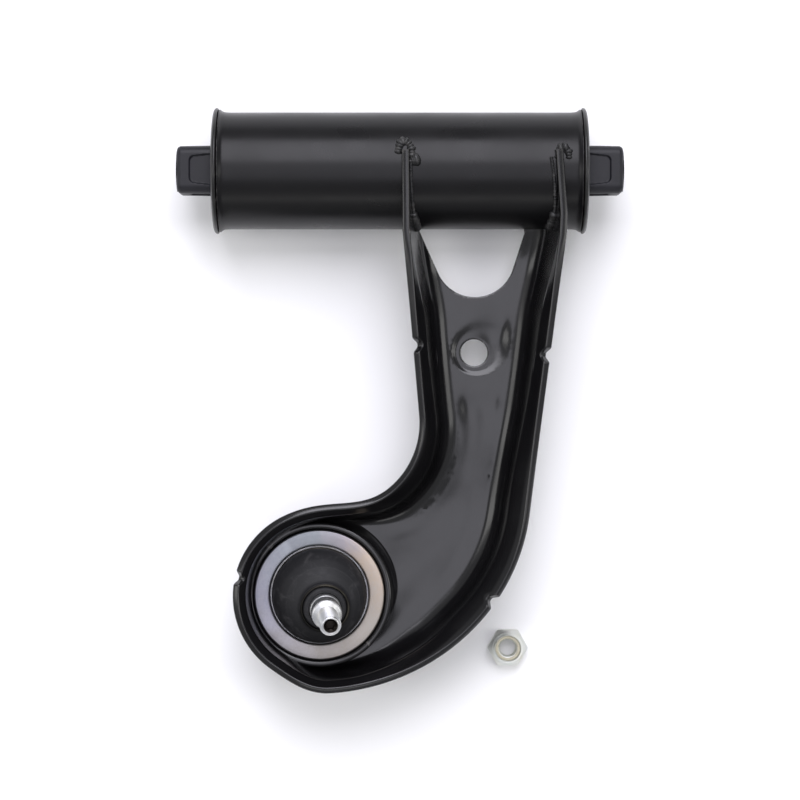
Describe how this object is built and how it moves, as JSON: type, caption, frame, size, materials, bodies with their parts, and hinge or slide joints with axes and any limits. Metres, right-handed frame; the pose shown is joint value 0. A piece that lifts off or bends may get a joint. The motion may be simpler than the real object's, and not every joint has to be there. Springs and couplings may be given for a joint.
{
  "type": "control arm",
  "caption": "Pressed J-shaped suspension arm with a cross tube on rubber pivot bushes at one end, an upright ball joint stud in a rubber boot at the other, and a loose lock nut.",
  "frame": {"origin": "middle of the pivot tube's axis", "axes": "+X along the pivot tube's axis towards the arm's outer bush, +Y from the ball joint towards the tube, +Z along the ball joint's housing towards its stud"},
  "size_m": [0.2112, 0.2752, 0.0777],
  "materials": {
    "arm_stamping": "gloss black electrocoat on pressed steel",
    "pivot_tube": "gloss black electrocoat",
    "ear_weld_left": "coated weld bead",
    "ear_weld_right": "coated weld bead",
    "under_weld_left": "coated weld bead",
    "under_weld_right": "coated weld bead",
    "bush_sleeve_left": "black coated steel",
    "bush_sleeve_right": "black coated steel",
    "bush_rubber_left": "moulded black rubber",
    "bush_rubber_right": "moulded black rubber",
    "bush_nose_left": "black moulding",
    "bush_nose_right": "black moulding",
    "inner_sleeve_left": "machined steel",
    "inner_sleeve_right": "machined steel",
    "spacer_tube": "drawn steel tube",
    "joint_housing": "turned steel",
    "ball_seat_upper": "natural plastic",
    "ball_seat_lower": "natural plastic",
    "closing_plate": "zinc-plated steel",
    "preload_spring": "tempered spring steel",
    "retaining_ring": "zinc plating, iridescent",
    "dust_boot": "moulded black rubber",
    "boot_lower_clip": "spring wire",
    "boot_upper_clip": "spring wire",
    "ball_stud": "turned and zinc-plated steel",
    "stud_ball": "ground and polished steel",
    "lock_nut": "zinc-plated steel",
    "nut_insert": "nylon"
  },
  "bodies": {
    "arm": {"arm_stamping": "arm_stamping", "pivot_tube": "pivot_tube", "ear_weld_left": "ear_weld_left", "ear_weld_right": "ear_weld_right", "under_weld_left": "under_weld_left", "under_weld_right": "under_weld_right", "bush_sleeve_left": "bush_sleeve_left", "bush_sleeve_right": "bush_sleeve_right", "bush_rubber_left": "bush_rubber_left", "bush_rubber_right": "bush_rubber_right", "joint_housing": "joint_housing", "ball_seat_upper": "ball_seat_upper", "ball_seat_lower": "ball_seat_lower", "closing_plate": "closing_plate", "preload_spring": "preload_spring", "retaining_ring": "retaining_ring", "dust_boot": "dust_boot", "boot_lower_clip": "boot_lower_clip"},
    "pivot_core": {"inner_sleeve_left": "inner_sleeve_left", "inner_sleeve_right": "inner_sleeve_right", "spacer_tube": "spacer_tube", "bush_nose_left": "bush_nose_left", "bush_nose_right": "bush_nose_right"},
    "stud_ball": {"stud_ball": "stud_ball"},
    "boot_neck": {"boot_upper_clip": "boot_upper_clip"},
    "stud": {"ball_stud": "ball_stud"},
    "lock_nut": {"lock_nut": "lock_nut", "nut_insert": "nut_insert"}
  },
  "joints": [
    {"name": "pivot_swing", "type": "hinge", "parent": "arm", "child": "pivot_core", "pos_m": [0, 0, 0], "axis": [1, 0, 0], "range_deg": [-25, 25], "stiffness_Nm_per_rad": 30, "deforming": ["bush_rubber_left", "bush_rubber_right"]},
    {"name": "stud_tilt_x", "type": "hinge", "parent": "arm", "child": "stud_ball", "pos_m": [-0.0382, -0.2004, -0.0135], "axis": [1, 0, 0], "range_deg": [-28, 7.9], "deforming": ["dust_boot"]},
    {"name": "stud_tilt_y", "type": "hinge", "parent": "stud_ball", "child": "boot_neck", "pos_m": [-0.0382, -0.2004, -0.0135], "axis": [0, 0.9846, 0.175], "range_deg": [-24.1, 11.8], "deforming": ["dust_boot"]},
    {"name": "stud_spin", "type": "hinge", "parent": "boot_neck", "child": "stud", "pos_m": [-0.0382, -0.2004, -0.0135], "axis": [0.1075, -0.174, 0.9789], "continuous": true},
    {"name": "lock_nut_lift", "type": "slide", "parent": "arm", "child": "lock_nut", "axis": [0, 0, 1], "range_m": [0, 0.06]}
  ]
}
